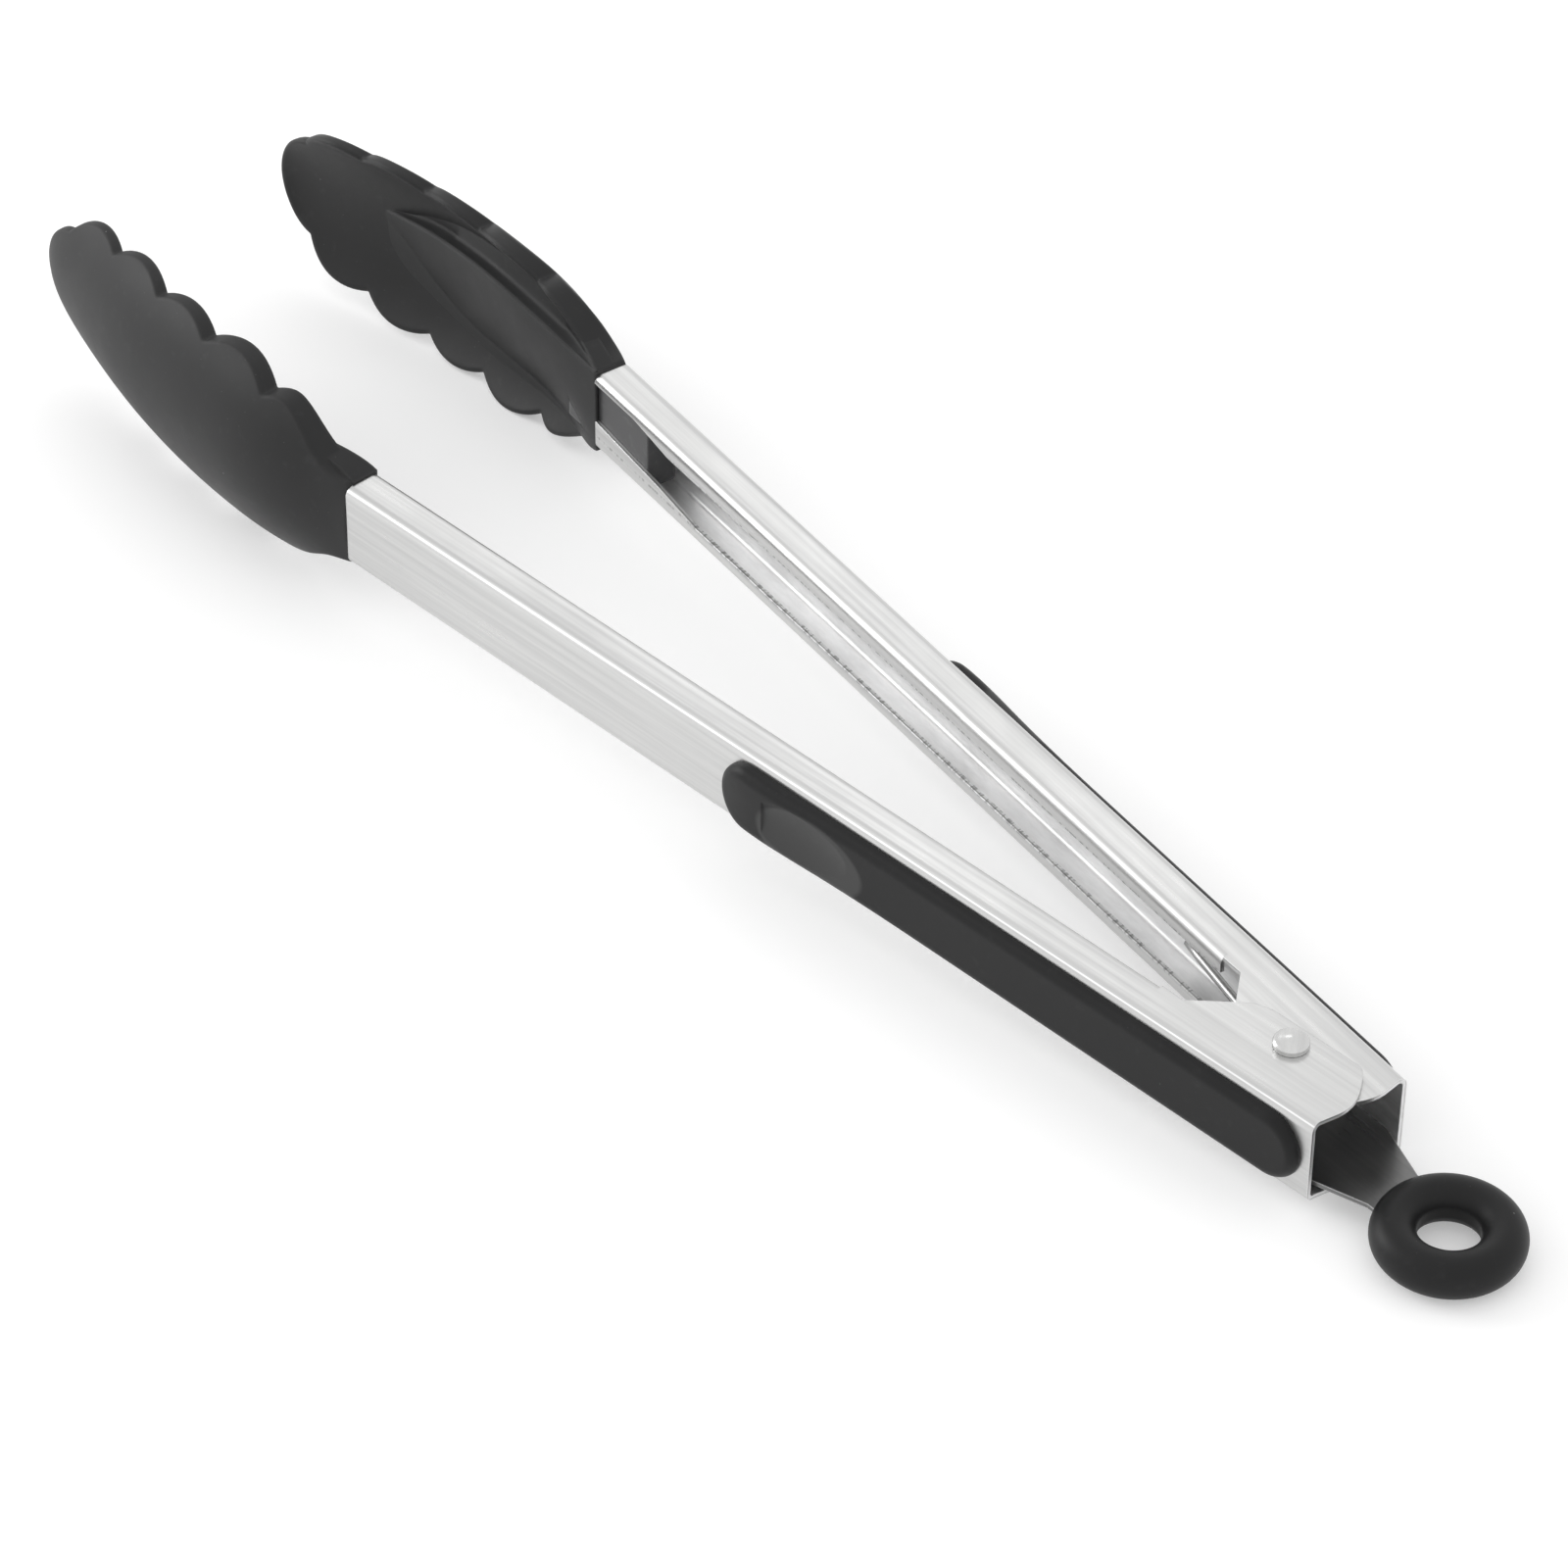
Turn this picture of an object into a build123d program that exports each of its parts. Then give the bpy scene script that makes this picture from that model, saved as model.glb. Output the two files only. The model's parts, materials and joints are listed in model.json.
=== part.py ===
"""Spring loaded locking tongs: two identical steel channels on one rivet, silicone heads,
soft grips, a torsion spring round the pivot and a sliding lock plate with a pull ring.

Millimetres. The pivot axis is Z and the tips point along +X. Each arm is built in its own
frame: x runs along the arm from the pivot, y points outwards, z is up. The right arm is the
left arm turned half a turn about X, so both arms and both heads are the same parts.
The finished tool is written with its origin at the bottom centre of the whole.
"""
from build123d import *
from math import acos, atan2, cos, degrees, hypot, radians, sin
import copy
import os

# ---- driving dimensions ----
open_angle = 5.43          # each arm's angle from the middle line, fully open
sheet = 0.8                # steel thickness of the arms
ear_gap = 0.08             # running gap between the nested ears
arm_length = 206.6         # pivot to the front end of the channel
arm_rear = 14.6            # pivot to the rear end of the web
web_offset = 11.3          # pivot to the outer face of the web
arm_height = 16.0
flange_depth = 7.5         # web to the folded lip
bend = 1.6                 # outer bend radius
lip_height = 3.2           # folded lip, with its bend

ear_reach = 4.1            # how far the ears pass the pivot
ear_front = 23.0           # where the lips stop and the ears begin

head_length = 97.0
rim_rounding = 0.6
notch_rounding = 1.0

grip_front = 113.0
grip_rear = -12.8
grip_half_height = 6.3
grip_proud = 1.9
grip_rounding = 1.75
thumb_x = 91.5             # middle of the thumb rest
thumb_rise = 0.45          # extra height of the grip under the thumb
dish_half_length = 10.5    # hollow of the thumb rest
dish_half_width = 4.7
dish_depth = 0.8
carrier_margin = 1.2       # nylon carrier inside the soft grip
carrier_thickness = 1.0
peg_radius = 1.5
peg_places = (-2.0, 50.0, 100.0)

rivet_radius = 2.0
running_fit = 0.05
rivet_head_radius = 2.92
rivet_head_side = 0.8
rivet_head_dome = 0.9
rivet_foot_radius = 2.7
rivet_foot_height = 1.1
sleeve_radius = 3.0

wire_radius = 0.8
coil_radius = 4.25
coil_full_turns = 4
coil_pitch = 1.66
coil_bottom = -2.9         # middle of the wire at the lower end of the coil
leg_reach = 38.0           # pivot to the end of a spring leg, along the middle line
leg_drop = 0.7             # the legs part a little towards their ends

plate_thickness = 0.8
plate_z = -4.6             # middle of the lock plate
plate_front = 15.0
plate_half_width = 8.7
plate_shoulder = -13.5     # behind this the plate narrows towards the ring
plate_neck = -24.0
plate_neck_half_width = 5.2
lock_travel = 8.0
slot_clearance = 0.12
eye_outer = 10.2           # flat ring of the plate inside the pull ring
eye_inner = 6.8

ring_distance = 36.4       # pivot to the middle of the pull ring
ring_radius = 8.5          # middle of the ring's section
ring_section = 3.7
hole_land_radius = 4.95    # flat band round the inside of the ring

# ---- derived places ----
arm_lift = (sheet + ear_gap) / 2
web_inner = web_offset - sheet
lip_face = web_offset - flange_depth
half_height = arm_height / 2


def arm_frame(side):
    """Frame of one arm: side is 1 for the left arm and -1 for the right arm."""
    turn = radians(open_angle)
    return Plane(
        origin=(0, 0, side * arm_lift),
        x_dir=(cos(turn), side * sin(turn), 0),
        z_dir=(0, 0, side),
    )


def across(frame, x, y=0, z=0):
    """Plane square to the arm at x: its x is the arm's y, its y is the arm's z."""
    return Plane(frame.from_local_coords(Vector(x, y, z)), frame.y_dir, frame.x_dir)


def beside(frame, y):
    """Plane along the arm, seen from its side: its x is the arm's x, its y is the arm's z."""
    return Plane(frame.from_local_coords(Vector(0, y, 0)), frame.x_dir, -frame.y_dir)


def level(frame, z):
    """Plane along the arm, seen from above: its x and y are the arm's."""
    return Plane(frame.from_local_coords(Vector(0, 0, z)), frame.x_dir, frame.z_dir)


finished = {}


def finish(builder, name):
    """Label a finished piece and keep it for export."""
    builder.part.label = name
    finished[name] = builder.part


# ---- arms ----
tall_lip = 6.2             # front end of the upper lip, where it holds the head's tongue
tall_lip_start = 186.0
tall_lip_end = 174.0
low_lip_start = 183.0      # the lower lip runs out towards the front end
low_lip_end = 194.0

def build_arm(frame, name):
    with BuildPart() as arm:
        with BuildSketch(across(frame, -arm_rear)):
            with Locations((web_offset - flange_depth / 2, 0)):
                RectangleRounded(flange_depth, arm_height, bend)
                RectangleRounded(
                    flange_depth - 2 * sheet, arm_height - 2 * sheet, bend - sheet, mode=Mode.SUBTRACT
                )
        extrude(amount=arm_length + arm_rear)
        # mouth of the channel, between the two lips
        with BuildSketch(beside(frame, lip_face - 1)):
            with BuildLine():
                upper = half_height - lip_height
                lower = -upper
                Polyline(
                    (-arm_rear - 1, upper),
                    (tall_lip_end, upper),
                    (tall_lip_start, half_height - tall_lip * 0.75),
                    (arm_length + 1, half_height - tall_lip),
                    (arm_length + 1, -half_height + bend),
                    (low_lip_end, -half_height + bend),
                    (low_lip_start, lower),
                    (-arm_rear - 1, lower),
                    close=True,
                )
            make_face()
        extrude(amount=-(sheet + 1.01), mode=Mode.SUBTRACT)
        # the rear has flat ears in place of lips and inner bends
        with BuildSketch(level(frame, 0)):
            with Locations(((ear_front - arm_rear) / 2 - 0.5, lip_face + bend / 2 - 0.5)):
                Rectangle(ear_front + arm_rear + 1, bend + 1)
        extrude(amount=arm_height, both=True, mode=Mode.SUBTRACT)
        for base in (half_height - sheet, -half_height):
            with BuildSketch(level(frame, base)):
                with BuildLine():
                    ear_top = web_offset - bend
                    corner = (-arm_rear + 4.2, -ear_reach)
                    edge = Polyline(
                        (-arm_rear, ear_top),
                        (ear_front, ear_top),
                        (ear_front, lip_face + 0.3),
                        (18.6, lip_face + 0.5),
                        (10.8, -2.9),
                        (7.4, -ear_reach),
                        corner,
                    )
                    Spline(
                        corner,
                        (-arm_rear + 1.7, -1.9),
                        (-arm_rear - 0.4, 1.6),
                        (-arm_rear - 0.9, 5.8),
                        (-arm_rear, ear_top),
                        tangents=((-1, 0.25), (0.2, 1)),
                    )
                make_face()
            extrude(amount=sheet)
        # rivet holes and the holes for the grip's pegs
        with BuildSketch(level(frame, 0)):
            Circle(rivet_radius + running_fit)
        extrude(amount=arm_height, both=True, mode=Mode.SUBTRACT)
        with BuildSketch(beside(frame, web_offset + 1)):
            with Locations(*[(x, 0) for x in peg_places]):
                Circle(peg_radius)
        extrude(amount=sheet + 2, mode=Mode.SUBTRACT)
    finish(arm, name)


# ---- heads ----
# Sections of the silicone blade, each at a distance from the front end of the channel: how far
# its back stands out, the radius it curves to, its thickness and the half height of the blank.
blade_sections = (
    (0.0, 11.5, 32.0, 6.6, 13.0),
    (10.0, 13.8, 27.0, 5.6, 16.0),
    (22.7, 15.5, 23.3, 4.6, 19.5),
    (40.6, 13.8, 25.4, 3.9, 19.5),
    (56.4, 11.1, 25.3, 3.2, 19.5),
    (72.5, 7.1, 23.7, 2.9, 19.0),
    (88.4, 2.0, 20.0, 2.5, 17.0),
    (99.0, -4.0, 16.0, 2.6, 14.5),
)
blade_rise = 0.6           # the blade's middle lies this far above the channel's
neck_half_height = 8.5
# The scalloped outline, as heights over the blade's middle.
neck_curve = ((5.0, 9.3), (10.5, 12.3), (16.0, 15.0))
notches = ((22.7, 14.6), (40.5, 15.8), (56.1, 15.85), (72.5, 14.8), (88.8, 10.4))
crests = ((31.5, 17.8), (48.6, 17.8), (65.0, 17.5), (81.0, 15.2))

# Sections of the pad on the blade's inner side: place, ridge (height over the other arm's side
# and z), middle of its face (y and z), outer end of its face (y and z), and its back.
pad_sections = (
    (0.0, 3.9, -8.4, 3.95, 0.0, 4.0, 8.4, 9.5),
    (12.0, 3.9, -8.6, 4.3, 1.0, 6.8, 11.0, 10.0),
    (24.0, 3.9, -8.6, 4.9, 1.6, 8.4, 11.6, 10.4),
    (40.0, 3.9, -8.0, 5.2, 1.6, 7.4, 11.4, 9.4),
    (56.0, 4.0, -5.6, 4.9, 1.4, 6.3, 9.0, 8.2),
    (67.0, 4.1, -2.9, 4.5, 1.2, 5.3, 5.2, 6.6),
    (77.0, 4.2, -0.2, 4.2, 0.6, 4.25, 1.4, 4.9),
)
ridge_rounding = 0.35

core_skin = 1.0            # silicone over the nylon
core_tongue = 15.6         # nylon tongue inside the channel
core_root = 10.0           # the tongue runs on this far into the silicone neck
core_fit = 0.03            # press fit of the tongue in the channel
core_length = 62.0         # nylon blade inside the silicone
core_half_height = 10.5


def build_blade(frame, inset):
    """Curved blade before its outline is cut; inset is its depth under the silicone's skin."""
    with BuildPart() as blade:
        for place, crown, radius, thickness, top in blade_sections:
            sag = radius - (radius**2 - top**2) ** 0.5
            back = crown - inset
            front = crown - thickness + inset
            with BuildSketch(across(frame, arm_length + place, 0, blade_rise)):
                with BuildLine():
                    ThreePointArc((back - sag, -top), (back, 0), (back - sag, top))
                    Line((back - sag, top), (front - sag, top))
                    ThreePointArc((front - sag, top), (front, 0), (front - sag, -top))
                    Line((front - sag, -top), (back - sag, -top))
                make_face()
        loft()
    return blade


def build_pad(frame):
    """Pad that carries the neck's inner face on along the blade: a ridge on its lower side,
    a smooth hollow towards the upper rim."""
    with BuildPart() as pad:
        for place, ridge_y, ridge_z, middle_y, middle_z, end_y, end_z, back in pad_sections:
            with BuildSketch(across(frame, arm_length + place)):
                with BuildLine():
                    ThreePointArc(
                        (ridge_y, ridge_z + ridge_rounding),
                        (middle_y, middle_z),
                        (end_y, end_z),
                    )
                    Polyline(
                        (end_y, end_z),
                        (back, end_z),
                        (back, ridge_z + ridge_rounding),
                        (ridge_y + ridge_rounding, ridge_z),
                        (ridge_y, ridge_z + ridge_rounding),
                    )
                make_face()
        loft()
    return pad


def build_head(frame, prefix):
    with BuildPart() as core:
        add(build_blade(frame, core_skin))
        with BuildSketch(beside(frame, web_offset + 30)):
            with BuildLine():
                Spline(
                    (arm_length, neck_half_height - 2),
                    (arm_length + 20, core_half_height),
                    (arm_length + core_length, 0),
                    (arm_length + 20, -core_half_height),
                    (arm_length, 2 - neck_half_height),
                )
                Line((arm_length, 2 - neck_half_height), (arm_length, neck_half_height - 2))
            make_face()
        extrude(amount=80, mode=Mode.INTERSECT)
        # tongue that fills the front of the channel
        with BuildSketch(across(frame, arm_length - core_tongue)):
            with Locations(((lip_face + sheet + web_inner) / 2, 0)):
                RectangleRounded(
                    web_inner - lip_face - sheet - 2 * core_fit,
                    arm_height - 2 * sheet - 2 * core_fit,
                    bend - sheet,
                )
        extrude(amount=core_tongue + core_root)
    finish(core, prefix + "_head_core")
    blade = build_blade(frame, 0)
    with BuildPart() as head:
        add(blade)
        with BuildSketch(beside(frame, web_offset + 30)) as outline:
            with BuildLine():
                for side in (1, -1):
                    edge = [(arm_length + x, blade_rise + side * z) for x, z in notches]
                    tops = [(arm_length + x, blade_rise + side * z) for x, z in crests]
                    neck = [(arm_length + x, blade_rise * x / 16 + side * z) for x, z in neck_curve]
                    Spline(
                        (arm_length, side * neck_half_height),
                        *neck,
                        edge[0],
                        tangents=((1, side * 0.08), (1, -side * 0.45)),
                    )
                    for start, crest, end in zip(edge, tops, edge[1:]):
                        ThreePointArc(start, crest, end)
                last_x, last_z = notches[-1]
                ThreePointArc(
                    (arm_length + last_x, blade_rise + last_z),
                    (arm_length + head_length, blade_rise),
                    (arm_length + last_x, blade_rise - last_z),
                )
                Line((arm_length, neck_half_height), (arm_length, -neck_half_height))
            make_face()
            fillet(outline.vertices().filter_by(lambda v: v.X > 1), notch_rounding)
        extrude(amount=80, mode=Mode.INTERSECT)
        rim = head.edges().filter_by(
            lambda edge: abs((edge @ 1 - edge @ 0).normalized().dot(frame.y_dir)) < 0.8
            and frame.to_local_coords(edge @ 0.5).X > arm_length + 0.05
        )
        fillet(rim, rim_rounding)
        add(build_pad(frame))
        add(core, mode=Mode.SUBTRACT)
    finish(head, prefix + "_head")


# ---- grips ----
def build_grip(frame, prefix):
    middle = (grip_front + grip_rear) / 2
    length = grip_front - grip_rear
    crown = web_offset + grip_proud
    with BuildPart() as carrier:
        with BuildSketch(beside(frame, web_offset)):
            with Locations((middle, 0)):
                SlotOverall(length - 2 * carrier_margin, 2 * (grip_half_height - carrier_margin))
        extrude(amount=-carrier_thickness)
        with BuildSketch(beside(frame, web_offset)):
            with Locations(*[(place, 0) for place in peg_places]):
                Circle(peg_radius)
        extrude(amount=sheet)
    finish(carrier, prefix + "_grip_carrier")
    with BuildPart() as grip:
        with BuildSketch(beside(frame, web_offset)):
            with Locations((middle, 0)):
                SlotOverall(length, 2 * grip_half_height)
        extrude(amount=-(grip_proud + thumb_rise + 1))
        # side profile, with the swelling under the thumb
        with BuildSketch(level(frame, 0)):
            with BuildLine():
                Polyline(
                    (thumb_x - 30, crown),
                    (grip_rear - 1, crown),
                    (grip_rear - 1, web_offset - 1),
                    (grip_front + 1, web_offset - 1),
                    (grip_front + 1, crown - 0.6),
                )
                Spline(
                    (thumb_x - 30, crown),
                    (thumb_x, crown + thumb_rise),
                    (grip_front + 1, crown - 0.6),
                    tangents=((1, 0), (1, -0.35)),
                )
            make_face()
        extrude(amount=arm_height, both=True, mode=Mode.INTERSECT)
        upper = grip.edges().filter_by(
            lambda edge: frame.to_local_coords(edge @ 0.5).Y > web_offset + 0.5
            and edge.length > 1.5 * grip_proud
        )
        fillet(upper, grip_rounding)
        # hollow for the thumb
        dish_radius = (dish_half_width**2 + dish_depth**2) / (2 * dish_depth)
        dish_axis = crown + thumb_rise - dish_depth + dish_radius
        dish_edge = dish_axis - dish_radius + dish_depth
        with BuildSketch(level(frame, 0)):
            with BuildLine():
                ThreePointArc(
                    (thumb_x - dish_half_length, dish_edge),
                    (thumb_x, dish_edge - dish_depth),
                    (thumb_x + dish_half_length, dish_edge),
                )
                Polyline(
                    (thumb_x + dish_half_length, dish_edge),
                    (thumb_x + dish_half_length, dish_axis),
                    (thumb_x - dish_half_length, dish_axis),
                    (thumb_x - dish_half_length, dish_edge),
                )
            make_face()
        revolve(
            axis=Axis(frame.from_local_coords(Vector(0, dish_axis, 0)), frame.x_dir),
            mode=Mode.SUBTRACT,
        )
        add(carrier, mode=Mode.SUBTRACT)
    finish(grip, prefix + "_grip")


# ---- pivot ----
def build_pivot():
    stack = half_height + arm_lift + running_fit
    with BuildPart() as rivet:
        with BuildSketch(Plane.XZ):
            with BuildLine():
                shoulder = stack + rivet_head_side
                foot = stack + rivet_foot_height
                Polyline(
                    (0, shoulder + rivet_head_dome),
                    (0, -foot),
                    (rivet_foot_radius * 0.7, -foot),
                    (rivet_foot_radius, -stack - rivet_foot_height * 0.5),
                    (rivet_foot_radius, -stack),
                    (rivet_radius, -stack),
                    (rivet_radius, stack),
                    (rivet_head_radius, stack),
                    (rivet_head_radius, shoulder),
                )
                Spline(
                    (rivet_head_radius, shoulder),
                    (rivet_head_radius * 0.62, shoulder + rivet_head_dome * 0.68),
                    (0, shoulder + rivet_head_dome),
                    tangents=((-0.35, 1), (-1, 0)),
                )
            make_face()
        revolve(axis=Axis.Z)
    finish(rivet, "pivot_rivet")
    sleeve_half = half_height - sheet - arm_lift - running_fit
    with BuildPart() as sleeve:
        with BuildSketch(Plane.XY.offset(-sleeve_half)):
            Circle(sleeve_radius)
            Circle(rivet_radius + running_fit, mode=Mode.SUBTRACT)
        extrude(amount=2 * sleeve_half)
    finish(sleeve, "pivot_sleeve")


def build_spring():
    """Coil round the sleeve with one leg pressing outwards on each web."""
    leg_width = web_inner + leg_reach * sin(radians(open_angle)) - wire_radius - 0.05
    leg_bearing = degrees(atan2(leg_width, leg_reach))
    leaving = leg_bearing + degrees(acos(coil_radius / hypot(leg_reach, leg_width)))
    turns = coil_full_turns + (360 - 2 * leaving) / 360
    height = turns * coil_pitch
    start = Vector(coil_radius * cos(radians(leaving)), -coil_radius * sin(radians(leaving)), coil_bottom)
    stop = Vector(start.X, -start.Y, coil_bottom + height)
    with BuildPart() as spring:
        with BuildLine(Plane((0, 0, coil_bottom), x_dir=(start.X, start.Y, 0))) as coil:
            Helix(coil_pitch, height, coil_radius, lefthand=True)
        with BuildSketch(Plane(coil.line @ 0, z_dir=coil.line % 0)):
            Circle(wire_radius)
        sweep(path=coil.line, is_frenet=True)
        for foot, side, drop in ((start, -1, -leg_drop), (stop, 1, leg_drop)):
            with BuildLine() as leg:
                Line(foot, (leg_reach, side * leg_width, foot.Z + drop))
            with BuildSketch(Plane(leg.line @ 0, z_dir=leg.line % 0)):
                Circle(wire_radius)
            sweep(path=leg.line)
    finish(spring, "torsion_spring")


# ---- lock ----
def build_lock():
    slot_half_width = sleeve_radius + slot_clearance
    with BuildPart() as plate:
        with BuildSketch(Plane.XY.offset(plate_z - plate_thickness / 2)) as shape:
            with BuildLine():
                Polyline(
                    (plate_front, plate_half_width - 1.2),
                    (plate_front - 3, plate_half_width),
                    (plate_shoulder, plate_half_width),
                    (plate_neck, plate_neck_half_width),
                    (-ring_distance, plate_neck_half_width),
                    (-ring_distance, -plate_neck_half_width),
                    (plate_neck, -plate_neck_half_width),
                    (plate_shoulder, -plate_half_width),
                    (plate_front - 3, -plate_half_width),
                    (plate_front, 1.2 - plate_half_width),
                    close=True,
                )
            make_face()
            with Locations((-ring_distance, 0)):
                Circle(eye_outer)
                Circle(eye_inner, mode=Mode.SUBTRACT)
            with Locations((lock_travel / 2, 0)):
                SlotCenterToCenter(lock_travel, 2 * slot_half_width, mode=Mode.SUBTRACT)
        extrude(amount=plate_thickness)
    finish(plate, "lock_slider")
    with BuildPart() as ring:
        with BuildSketch(Plane.XZ):
            with Locations((ring_radius - ring_distance, plate_z)):
                Circle(ring_section)
        revolve(axis=Axis((-ring_distance, 0, 0), (0, 0, 1)))
        with BuildSketch(Plane.XY.offset(plate_z - ring_section)):
            with Locations((-ring_distance, 0)):
                Circle(hole_land_radius)
        extrude(amount=2 * ring_section, mode=Mode.SUBTRACT)
        add(plate, mode=Mode.SUBTRACT)
    finish(ring, "pull_ring")


for side, prefix in ((1, "left"), (-1, "right")):
    frame = arm_frame(side)
    build_arm(frame, prefix + "_arm")
    build_head(frame, prefix)
    build_grip(frame, prefix)
build_pivot()
build_spring()
build_lock()

# ---- export, with the origin at the bottom centre of the whole ----
whole = Compound(children=[copy.copy(piece) for piece in finished.values()]).bounding_box()
to_origin = Location((-whole.center().X, -whole.center().Y, -whole.min.Z))
os.makedirs("parts", exist_ok=True)
for name, piece in finished.items():
    placed = piece.moved(to_origin)
    placed.label = name
    export_step(placed, f"parts/{name}.step")
print("pivot axis at", to_origin.position)
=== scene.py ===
"""Looks, light and camera for the spring loaded kitchen tongs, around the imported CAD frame. Metres."""
import json

import bmesh
import bpy
from math import acos, atan2, cos, hypot, pi, radians, sin
from mathutils import Matrix, Vector


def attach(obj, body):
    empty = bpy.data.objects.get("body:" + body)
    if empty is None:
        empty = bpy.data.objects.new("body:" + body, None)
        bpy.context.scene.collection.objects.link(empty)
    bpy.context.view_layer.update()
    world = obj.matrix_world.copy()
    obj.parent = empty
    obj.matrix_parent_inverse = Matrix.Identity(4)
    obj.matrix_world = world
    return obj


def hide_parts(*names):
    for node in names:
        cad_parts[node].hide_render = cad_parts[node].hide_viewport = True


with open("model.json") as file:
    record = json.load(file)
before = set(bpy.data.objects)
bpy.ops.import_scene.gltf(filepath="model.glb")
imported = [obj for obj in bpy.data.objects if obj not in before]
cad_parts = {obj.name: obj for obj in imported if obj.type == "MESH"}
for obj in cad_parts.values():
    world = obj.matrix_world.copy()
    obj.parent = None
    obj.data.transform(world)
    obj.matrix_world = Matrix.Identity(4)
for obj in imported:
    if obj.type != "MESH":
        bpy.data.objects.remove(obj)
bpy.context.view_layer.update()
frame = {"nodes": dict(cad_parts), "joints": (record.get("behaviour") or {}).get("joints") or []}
nodes = frame["nodes"]
joints = {joint["name"]: joint for joint in frame["joints"]}
pivot = Vector(joints["left_arm_hinge"]["pos_m"])
MM = 0.001

# ---- camera, from the fit to the photograph ----
camera_from_pivot = Vector((-0.49915, 0.50933, 0.64753))
camera_right = Vector((-0.6282, -0.7780, 0.0078))
camera_up = Vector((0.5006, -0.3965, 0.7696))
lens_mm = 142.85
sensor_mm = 36.0

# ---- dimensions shared with the CAD, in millimetres from the pivot ----
open_angle = radians(5.43)
arm_lift = 0.44
web_outer = 11.3
web_inner = 10.5
lip_face = 3.8
lip_edge = 4.8
flange_inside = 7.2
wire_radius = 0.8
coil_radius = 4.25
coil_pitch = 1.66
coil_full_turns = 4
coil_bottom = -2.9
leg_reach = 38.0
leg_drop = 0.7
thumb_x = 91.5
leg_clearance = 0.05           # between a leg and the web beside it

# ---- places on the arm that only the looks use, in millimetres ----
inside_margin = 0.4
lip_depth = (-0.5, 1.0)        # dark jagged band, outwards from the lip's face
lip_height = (-0.1, 0.25)      # dark jagged band, from the lip's edge
thumb_light_half_length = 12.0      # painted light patch on the thumb rest, where it faces up
thumb_light_half_width = 6.6
thumb_light_drop = 1.4

# ---- grain of the looks: cells per metre, along the arm, outwards and up where there are three ----
steel_grain = (14, 900, 900)
steel_marks = (30, 60, 60)
channel_scuffs = (60, 260, 260)
lip_jag_grain = (900, 300, 300)
fine_grain = 2600.0
mottle_grain = 420.0
cloud_grain = 45.0
dust = ((230.0, 0.035, 1.0), (520.0, 0.045, 0.4))      # cells per metre, speck size, share of the strength

# ---- stage ----
floor_size = 6.0
floor_glow = 0.32
floor_tones = (0.72, 0.74)
world_strength = 0.96
light_target = Vector((0.12, 0, 0))                    # from the pivot
sheen_light = {"offset": (1.05, -0.85, 1.15), "size": (0.5, 0.35), "power": 0.5}
key_light = {"offset": (1.4, 0.7, 0.6), "size": (0.8, 0.8), "power": 10}


# ---- material helpers ----
def new_material(name):
    material = bpy.data.materials.new(name)
    material.use_nodes = True
    tree = material.node_tree
    return material, tree, tree.nodes["Principled BSDF"]


def add_node(tree, kind, **values):
    node = tree.nodes.new(kind)
    for key, value in values.items():
        if hasattr(node, key):
            setattr(node, key, value)
        else:
            node.inputs[key.replace("_", " ")].default_value = value
    return node


def math_node(tree, operation, first, second):
    """Output of a Math node: each operand is a number or another node's output."""
    node = add_node(tree, "ShaderNodeMath", operation=operation)
    for socket, value in zip(node.inputs, (first, second)):
        if isinstance(value, (int, float)):
            socket.default_value = value
        else:
            tree.links.new(value, socket)
    return node.outputs[0]


def add(tree, first, second):
    return math_node(tree, "ADD", first, second)


def subtract(tree, first, second):
    return math_node(tree, "SUBTRACT", first, second)


def multiply(tree, first, second):
    return math_node(tree, "MULTIPLY", first, second)


def divide(tree, first, second):
    return math_node(tree, "DIVIDE", first, second)


def object_coords(tree, scale=(1, 1, 1), turn=0.0):
    """Object coordinates in metres, turned about Z and then multiplied by scale along each axis."""
    coords = add_node(tree, "ShaderNodeTexCoord")
    turned = add_node(tree, "ShaderNodeMapping")
    turned.inputs["Rotation"].default_value = (0, 0, turn)
    scaled = add_node(tree, "ShaderNodeMapping")
    scaled.inputs["Scale"].default_value = scale
    tree.links.new(coords.outputs["Object"], turned.inputs["Vector"])
    tree.links.new(turned.outputs["Vector"], scaled.inputs["Vector"])
    return scaled.outputs["Vector"]


def arm_coords(tree, side):
    """X along the arm, Y outwards and Z, in millimetres from the pivot, in the arm's own frame."""
    turn = Matrix.Rotation(-side * open_angle, 3, "Z")
    coords = add_node(tree, "ShaderNodeTexCoord")
    placed = add_node(tree, "ShaderNodeMapping")
    placed.inputs["Rotation"].default_value = (0, 0, -side * open_angle)
    placed.inputs["Location"].default_value = -(turn @ pivot)
    tree.links.new(coords.outputs["Object"], placed.inputs["Vector"])
    parts = add_node(tree, "ShaderNodeSeparateXYZ")
    tree.links.new(placed.outputs["Vector"], parts.inputs[0])
    along = multiply(tree, parts.outputs[0], 1 / MM)
    outward = multiply(tree, parts.outputs[1], side / MM)
    up = subtract(tree, multiply(tree, parts.outputs[2], side / MM), arm_lift)
    return along, outward, up


def noise(tree, vector, scale, detail=3.0, roughness=0.55):
    node = add_node(tree, "ShaderNodeTexNoise", Scale=scale, Detail=detail, Roughness=roughness)
    tree.links.new(vector, node.inputs["Vector"])
    return node.outputs["Fac"]


def ramp(tree, factor, low, high, low_value, high_value):
    """From low_value to high_value as factor goes from low to high, and no further."""
    node = add_node(tree, "ShaderNodeMapRange")
    node.inputs["From Min"].default_value = low
    node.inputs["From Max"].default_value = high
    node.inputs["To Min"].default_value = low_value
    node.inputs["To Max"].default_value = high_value
    tree.links.new(factor, node.inputs["Value"])
    return node.outputs["Result"]


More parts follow.
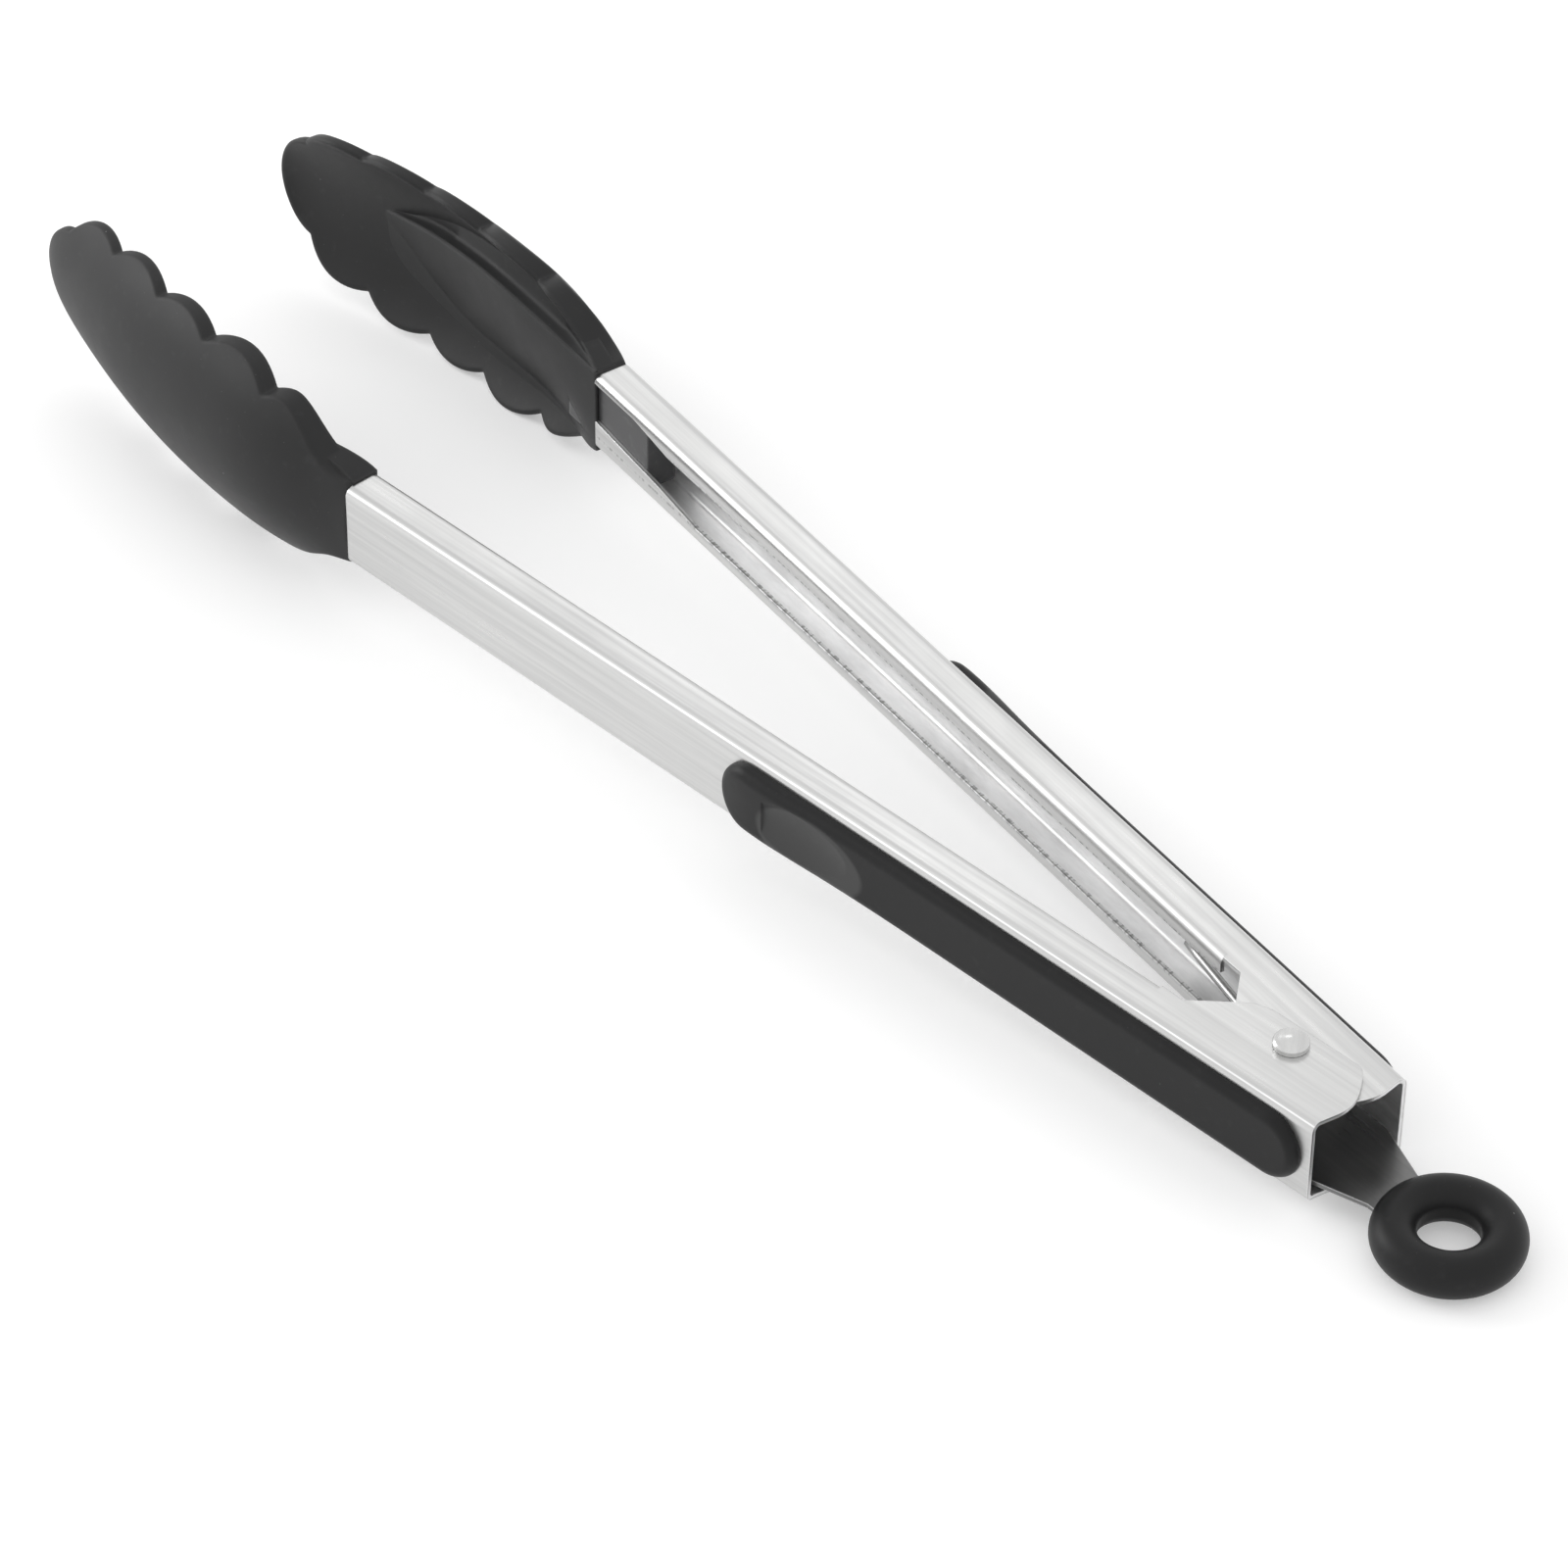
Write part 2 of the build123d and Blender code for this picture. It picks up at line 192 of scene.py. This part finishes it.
def band(tree, value, low, high, soft):
    """1 between low and high, falling to 0 over soft on each side."""
    rising = ramp(tree, value, low - soft, low, 0, 1)
    falling = ramp(tree, value, high, high + soft, 1, 0)
    return multiply(tree, rising, falling)


def colour_mix(tree, factor, first, second):
    """From the first colour at factor 0 to the second at 1: each is a tuple or another node's output."""
    node = add_node(tree, "ShaderNodeMix", data_type="RGBA")
    for key, value in (("A", first), ("B", second)):
        socket = next(item for item in node.inputs if item.name == key and item.type == "RGBA")
        if isinstance(value, tuple):
            socket.default_value = (*value, 1)
        else:
            tree.links.new(value, socket)
    tree.links.new(factor, node.inputs["Factor"])
    return next(item for item in node.outputs if item.type == "RGBA")


def soft_edges(tree, radius):
    """Normals rounded over the edges, and a mask: 0 on a flat face, 1 where they lean away from it."""
    rounded = add_node(tree, "ShaderNodeBevel", samples=4, Radius=radius)
    flat = add_node(tree, "ShaderNodeNewGeometry")
    leaning = add_node(tree, "ShaderNodeVectorMath", operation="DOT_PRODUCT")
    tree.links.new(rounded.outputs["Normal"], leaning.inputs[0])
    tree.links.new(flat.outputs["Normal"], leaning.inputs[1])
    return rounded.outputs["Normal"], ramp(tree, leaning.outputs["Value"], 0.995, 0.86, 0, 1)


def bump(tree, shader, height, strength, distance, normal):
    node = add_node(tree, "ShaderNodeBump", Strength=strength, Distance=distance)
    tree.links.new(height, node.inputs["Height"])
    tree.links.new(normal, node.inputs["Normal"])
    tree.links.new(node.outputs["Normal"], shader.inputs["Normal"])


def grey(tone, blue=1.0):
    """Grey whose blue is the other two times this."""
    return (tone, tone, tone * blue)


# ---- materials ----
def brushed_steel(name, turn, tone=0.66, low=0.24, high=0.42, side=0):
    """Sheet steel, its edges painted lighter as a highlight, with a fine grain along the arm and faint
    handling marks. Low and high give its roughness. For an arm, side says which: 1 is the left one and -1
    the right."""
    material, tree, shader = new_material(name)
    shader.inputs["Metallic"].default_value = 1.0
    shader.inputs["Anisotropic"].default_value = 0.35
    grain = noise(tree, object_coords(tree, steel_grain, turn), 1.0, 4.0, 0.6)
    marks = noise(tree, object_coords(tree, steel_marks, turn), 1.0, 5.0, 0.65)
    light, dark = grey(tone, 0.99), grey(tone * 0.86, 0.995)
    colour = colour_mix(tree, ramp(tree, grain, 0.35, 0.7, 0, 1), light, dark)
    rough = add(
        tree,
        multiply(tree, ramp(tree, grain, 0.3, 0.7, low, high), 0.55),
        ramp(tree, marks, 0.3, 0.75, low * 0.4, high * 0.5),
    )
    rounded, painted_edge_highlight = soft_edges(tree, radius=0.00025)
    # painted highlight: the edges are made lighter in colour where the rounded normals lean away
    colour = colour_mix(tree, multiply(tree, painted_edge_highlight, 0.7), colour, grey(0.95))
    if side:
        colour, rough = channel_light_and_lip_marks(tree, turn, side, colour, rough)
    tree.links.new(colour, shader.inputs["Base Color"])
    tree.links.new(rough, shader.inputs["Roughness"])
    bump(tree, shader, grain, 0.25, 0.00004, rounded)
    return material


def channel_light_and_lip_marks(tree, turn, side, colour, rough):
    """The channel is duller inside and painted lighter there as painted light; the lip edges have dark
    jagged marks.
    """
    _, outward, up = arm_coords(tree, side)
    level = math_node(tree, "ABSOLUTE", up, 0)
    inside = multiply(
        tree,
        band(tree, outward, lip_face + inside_margin, web_outer - inside_margin, 0.05),
        band(tree, level, -1, flange_inside + inside_margin, 0.05),
    )
    scuffs = noise(tree, object_coords(tree, channel_scuffs, turn), 1.0, 5.0, 0.7)
    # painted light: the inside of the channel is made lighter, its tone varied by the scuff grain
    painted_inside_light = colour_mix(tree, ramp(tree, scuffs, 0.4, 0.7, 0, 1), grey(0.93), grey(0.78))
    colour = colour_mix(tree, inside, colour, painted_inside_light)
    rough = add(tree, rough, multiply(tree, inside, 0.16))
    jag_noise = noise(tree, object_coords(tree, lip_jag_grain, turn), 1.0, 3.0, 0.7)
    edge = multiply(
        tree,
        band(tree, outward, lip_face + lip_depth[0], lip_face + lip_depth[1], 0.1),
        band(tree, level, lip_edge + lip_height[0], lip_edge + lip_height[1], 0.15),
    )
    # dark jagged marks along the lip edges
    dark_jags = multiply(tree, edge, ramp(tree, jag_noise, 0.5, 0.56, 0, 0.5))
    return colour_mix(tree, dark_jags, colour, grey(0.12)), rough


def soft_black(name, tone, roughness, speck=0.0, specular=0.3, thumb_side=0):
    """Silicone, soft grip or nylon, its edges painted lighter as a highlight: a fine matte grain, cloudy
    tone and a few specks of dust. For a grip, thumb_side says whose thumb rest gets a painted light patch: 1
    left, -1 right."""
    material, tree, shader = new_material(name)
    shader.inputs["Specular IOR Level"].default_value = specular
    fine = noise(tree, object_coords(tree), fine_grain, 2.0, 0.5)
    cloud = noise(tree, object_coords(tree), cloud_grain, 4.0, 0.6)
    mottle = noise(tree, object_coords(tree), mottle_grain, 3.0, 0.6)
    clouded = ramp(tree, cloud, 0.35, 0.75, 0, 1)
    colour = colour_mix(tree, clouded, grey(tone, 1.03), grey(tone * 1.5, 1.03))
    colour = colour_mix(tree, ramp(tree, mottle, 0.58, 0.8, 0, 0.35), colour, grey(tone * 3, 1.02))
    if speck:
        for scale, size, share in dust:
            cells = add_node(tree, "ShaderNodeTexVoronoi", Scale=scale)
            tree.links.new(object_coords(tree), cells.inputs["Vector"])
            spot = ramp(tree, cells.outputs["Distance"], size, size * 0.5, 0, speck * share)
            colour = colour_mix(tree, spot, colour, grey(0.35))
    if thumb_side:
        # painted light: the thumb rest is made lighter where its dimple faces up
        colour = colour_mix(tree, painted_thumb_light(tree, thumb_side), colour, grey(tone * 5.5))
    rounded, painted_edge_highlight = soft_edges(tree, radius=0.0008)
    # painted highlight: the edges are made lighter in colour where the rounded normals lean away
    colour = colour_mix(tree, multiply(tree, painted_edge_highlight, 0.55), colour, grey(tone * 6))
    rough = ramp(tree, cloud, 0.3, 0.8, roughness - 0.06, roughness + 0.08)
    tree.links.new(colour, shader.inputs["Base Color"])
    tree.links.new(rough, shader.inputs["Roughness"])
    bump(tree, shader, fine, 0.35, 0.00002, rounded)
    return material


def painted_thumb_light(tree, side):
    """Painted light: 1 inside an oval on the thumb rest, where it faces up, 0 outside it."""
    along, _, up = arm_coords(tree, side)
    reach = divide(tree, subtract(tree, along, thumb_x), thumb_light_half_length)
    rise = divide(tree, add(tree, up, thumb_light_drop), thumb_light_half_width)
    spread = add(tree, multiply(tree, reach, reach), multiply(tree, rise, rise))
    return ramp(tree, spread, 1.02, 0.86, 0, 1)


sides = {"left": 1, "right": -1}
steel = {
    hand: brushed_steel(f"steel_{hand}", -side * open_angle, side=side) for hand, side in sides.items()
}
silicone = soft_black("silicone", 0.011, 0.5, speck=0.55)
grip_rubber = {
    hand: soft_black(f"grip_rubber_{hand}", 0.008, 0.44, speck=0.25, specular=0.22, thumb_side=side)
    for hand, side in sides.items()
}
ring_rubber = soft_black("ring_rubber", 0.008, 0.44, speck=0.45, specular=0.24)
nylon = soft_black("nylon", 0.05, 0.38, specular=0.45)
# painted shade: the plate's tone is kept dark to stand in for the dark inside of the arms that it reflects
plate_steel_painted_shade = brushed_steel("plate_steel_painted_shade", 0.0, 0.2)
rivet_steel = brushed_steel("rivet_steel", pi / 4, 0.7, 0.12, 0.3)
wire_steel = brushed_steel("wire_steel", 0.0, 0.5, 0.2, 0.35)

looks = {
    "pivot_rivet": rivet_steel,
    "pivot_sleeve": rivet_steel,
    "torsion_spring": wire_steel,
    "lock_slider": plate_steel_painted_shade,
    "pull_ring": ring_rubber,
}
for hand in sides:
    looks[f"{hand}_arm"] = steel[hand]
    looks[f"{hand}_head"] = silicone
    looks[f"{hand}_head_core"] = nylon
    looks[f"{hand}_grip"] = grip_rubber[hand]
    looks[f"{hand}_grip_carrier"] = nylon
for name, material in looks.items():
    mesh = nodes[name].data
    mesh.materials.clear()
    mesh.materials.append(material)
    for polygon in mesh.polygons:
        polygon.material_index = 0


# ---- pieces made here ----
def skin(name, rings, material, body):
    """Smooth closed piece through rings of points, in metres, that all have the same number."""
    mesh = bmesh.new()
    loops = [[mesh.verts.new(point) for point in ring] for ring in rings]
    for first, second in zip(loops, loops[1:]):
        for index in range(len(first)):
            after = (index + 1) % len(first)
            mesh.faces.new((first[index], first[after], second[after], second[index]))
    mesh.faces.new(loops[0][::-1])
    mesh.faces.new(loops[-1])
    bmesh.ops.recalc_face_normals(mesh, faces=mesh.faces)
    data = bpy.data.meshes.new(name)
    mesh.to_mesh(data)
    mesh.free()
    for polygon in data.polygons:
        polygon.use_smooth = True
    data.materials.append(material)
    piece = bpy.data.objects.new(name, data)
    bpy.context.collection.objects.link(piece)
    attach(piece, body)
    return piece


# ---- spring: the coil stays round the sleeve, and each leg moves with its arm ----
wire_sides = 16
cap_turns = (85, 60, 35)       # degrees from a wire's side to its tip, nearest the tip first


def wire(name, points, body):
    """Round wire through these points, given in millimetres from the pivot, with rounded ends."""
    places = [Vector(point) for point in points]
    runs = [(b - a).normalized() for a, b in zip(places, places[1:])]
    headings = [runs[0]] + [(a + b).normalized() for a, b in zip(runs, runs[1:])] + [runs[-1]]

    def cap(end, way, turns):
        """Stations round one end, where way is -1 at the start of the wire and 1 at its finish."""
        heading = headings[end]
        return [
            (places[end] + way * heading * wire_radius * (sin(turn) - 1), heading, cos(turn))
            for turn in map(radians, turns)
        ]

    middle = [(place, heading, 1.0) for place, heading in zip(places[1:-1], headings[1:-1])]
    rings = []
    for place, heading, size in cap(0, -1, cap_turns) + middle + cap(-1, 1, cap_turns[::-1]):
        sideways = heading.cross(Vector((0, 0, 1))).normalized()
        upward = sideways.cross(heading)
        angles = [2 * pi * step / wire_sides for step in range(wire_sides)]
        offsets = [(sideways * cos(angle) + upward * sin(angle)) * wire_radius * size for angle in angles]
        rings.append([pivot + (place + offset) * MM for offset in offsets])
    return skin(name, rings, wire_steel, body)


leg_width = web_inner + leg_reach * sin(open_angle) - wire_radius - leg_clearance
leg_bearing = atan2(leg_width, leg_reach)
leaving = leg_bearing + acos(coil_radius / hypot(leg_reach, leg_width))     # where a leg leaves the coil
coil_sweep = 2 * pi * coil_full_turns + 2 * pi - 2 * leaving
coil_rise = coil_sweep / (2 * pi) * coil_pitch


def coil_point(share):
    """Point of the left-handed coil, from its lower end at 0 to its upper end at 1."""
    angle = -leaving - share * coil_sweep
    return (coil_radius * cos(angle), coil_radius * sin(angle), coil_bottom + share * coil_rise)


def leg_points(share_from, share_to, side):
    """The last of the coil and then the straight leg."""
    curved_steps = 6
    straight_steps = 8
    curved = [
        coil_point(share_from + (share_to - share_from) * step / curved_steps)
        for step in range(curved_steps + 1)
    ]
    foot = curved[-1]
    end = (leg_reach, side * leg_width, foot[2] + side * leg_drop)
    return curved + [
        tuple(a + (b - a) * step / straight_steps for a, b in zip(foot, end))
        for step in range(1, straight_steps + 1)
    ]


coil_steps = 180
coil_share_of_leg = 0.03
coil = wire("spring_coil", [coil_point(step / coil_steps) for step in range(coil_steps + 1)], "pivot")
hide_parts("torsion_spring")
wire("spring_leg_left", leg_points(1 - coil_share_of_leg, 1.0, 1), "left_side")
wire("spring_leg_right", leg_points(coil_share_of_leg, 0.0, -1), "right_side")


# ---- inner faces of the heads: the silicone runs smoothly from the ridge to the scalloped rim ----
head_start = 206.6
# Place along the head, then the ridge (y, z), the groove's far side (y, z), the middle and the upper
# end of the hollow face (y, z each) and the back (y), in millimetres in the arm's own frame.
hollow_sections = (
    (0.3, 3.95, -8.2, 4.6, -8.4, 3.96, 0.0, 4.1, 7.6, 8.5),
    (12.0, 3.95, -8.5, 6.4, -11.0, 6.5, 1.5, 6.6, 11.6, 9.6),
    (24.0, 3.95, -8.5, 7.0, -13.0, 7.7, 2.0, 7.7, 13.0, 10.2),
    (40.0, 3.95, -7.9, 6.7, -12.6, 7.0, 2.9, 6.7, 13.8, 9.2),
    (56.0, 4.05, -5.5, 6.6, -8.4, 6.0, 3.5, 5.5, 12.5, 8.0),
    (67.0, 4.15, -2.8, 5.6, -4.4, 4.7, 3.2, 4.4, 9.0, 6.4),
    (77.0, 4.25, -0.1, 4.6, -1.0, 3.9, 1.5, 3.3, 3.0, 4.8),
)
groove_depth = 2.6
groove_foot_drop = 0.6         # below the ridge, as are the second values of the next two
groove_bevel = (0.5, 0.2)      # first value: back towards the face from the groove's depth
ridge_lap = (0.35, 0.15)       # first value: behind the ridge
face_steps = 16
hollow_steps = 60
crease_angle = radians(50)


def smooth_path(values, share):
    """Catmull-Rom value at share (0 to 1) of the way along a row of values."""
    spot = share * (len(values) - 1)
    index = min(int(spot), len(values) - 2)
    t = spot - index
    before, here, there, beyond = (
        values[min(max(index + shift, 0), len(values) - 1)] for shift in (-1, 0, 1, 2)
    )
    return 0.5 * (
        2 * here
        + (there - before) * t
        + (2 * before - 5 * here + 4 * there - beyond) * t**2
        + (3 * here - before - 3 * there + beyond) * t**3
    )


def through(first, middle, last, t):
    """Parabola through three values: the first at t = 0, the middle at 1/2 and the last at 1."""
    return first * (1 - t) * (1 - 2 * t) + middle * 4 * t * (1 - t) + last * t * (2 * t - 1)


def hollow_outline(section):
    """Closed outline (y, z) of one section, always with the same number of points."""
    ridge_y, ridge_z, far_y, far_z, middle_y, middle_z, end_y, end_z, back = section
    shares = [step / face_steps for step in range(face_steps + 1)]
    face = [(through(ridge_y, middle_y, end_y, t), through(ridge_z, middle_z, end_z, t)) for t in shares]
    groove_y = min(ridge_y + groove_depth, far_y)
    groove_side = [
        (groove_y, ridge_z - groove_foot_drop),
        (groove_y - groove_bevel[0], ridge_z - groove_bevel[1]),
        (ridge_y + ridge_lap[0], ridge_z - ridge_lap[1]),
    ]
    return face + [(back, end_z), (back, far_z), (far_y, far_z)] + groove_side


def head_hollow(name, side, body):
    """Inner face of one head, with flat ends and creased corners."""
    turn = Matrix.Rotation(side * open_angle, 3, "Z")
    columns = list(zip(*hollow_sections))
    rings = []
    for step in range(hollow_steps + 1):
        place, *section = (smooth_path(column, step / hollow_steps) for column in columns)
        ring = [
            Vector((head_start + place, side * y, side * (z + arm_lift))) for y, z in hollow_outline(section)
        ]
        rings.append([pivot + turn @ point * MM for point in ring])
    piece = skin(name, rings, silicone, body)
    for polygon in piece.data.polygons:
        polygon.use_smooth = len(polygon.vertices) == 4
    piece.data.set_sharp_from_angle(angle=crease_angle)


for hand, side in sides.items():
    head_hollow(f"{hand}_head_hollow", side, f"{hand}_side")


# ---- floor, touching the pull ring and the lowest scallops of the heads ----
def lowest_point(names, tilt):
    """The point of these nodes that a floor falling by tilt along +X touches."""
    return min(
        (vertex.co for name in names for vertex in nodes[name].data.vertices),
        key=lambda point: point.z * cos(tilt) + point.x * sin(tilt),
    ).copy()


# the points touched and the tilt depend on each other, and settle in a few rounds
floor_tilt = 0.0
for _ in range(4):
    ring_foot = lowest_point(("pull_ring",), floor_tilt)
    head_foot = lowest_point(("left_head", "right_head"), floor_tilt)
    floor_tilt = atan2(ring_foot.z - head_foot.z, head_foot.x - ring_foot.x)
floor_mesh = bmesh.new()
bmesh.ops.create_grid(floor_mesh, x_segments=1, y_segments=1, size=floor_size)
floor_data = bpy.data.meshes.new("floor")
floor_mesh.to_mesh(floor_data)
floor_mesh.free()
floor = bpy.data.objects.new("floor", floor_data)
bpy.context.collection.objects.link(floor)
floor.matrix_world = Matrix.Translation(head_foot) @ Matrix.Rotation(floor_tilt, 4, "Y")
floor_look, floor_tree, floor_shader = new_material("floor_white")
floor_shader.inputs["Roughness"].default_value = 0.6
floor_shader.inputs["Specular IOR Level"].default_value = 0.2
floor_shader.inputs["Emission Color"].default_value = (1, 1, 1, 1)
floor_shader.inputs["Emission Strength"].default_value = floor_glow
clouds = noise(floor_tree, object_coords(floor_tree), 3.0)
floor_colour = colour_mix(floor_tree, clouds, grey(floor_tones[0]), grey(floor_tones[1]))
floor_tree.links.new(floor_colour, floor_shader.inputs["Base Color"])
floor_data.materials.append(floor_look)

# ---- light ----
world = bpy.data.worlds.new("studio")
bpy.context.scene.world = world
world.use_nodes = True
background = world.node_tree.nodes["Background"]
background.inputs["Color"].default_value = (1, 1, 1, 1)
background.inputs["Strength"].default_value = world_strength


def area_light(name, offset, size, power):
    """Lamp at this offset from the target, turned to face it."""
    data = bpy.data.lights.new(name, "AREA")
    data.shape = "RECTANGLE"
    data.size, data.size_y = size
    data.energy = power
    light = bpy.data.objects.new(name, data)
    bpy.context.collection.objects.link(light)
    light.location = pivot + light_target + Vector(offset)
    light.rotation_euler = Vector(offset).to_track_quat("Z", "Y").to_euler()


area_light("sheen", **sheen_light)
area_light("key", **key_light)

# ---- camera ----
camera_data = bpy.data.cameras.new("photo_camera")
camera_data.lens = lens_mm
camera_data.sensor_width = sensor_mm
camera = bpy.data.objects.new("photo_camera", camera_data)
bpy.context.collection.objects.link(camera)
right = camera_right.normalized()
back = right.cross(camera_up).normalized()
up = back.cross(right)
camera.matrix_world = Matrix.Translation(pivot + camera_from_pivot) @ Matrix(
    ((right.x, up.x, back.x), (right.y, up.y, back.y), (right.z, up.z, back.z))
).to_4x4()
bpy.context.scene.camera = camera
bpy.context.scene.view_settings.view_transform = "Standard"
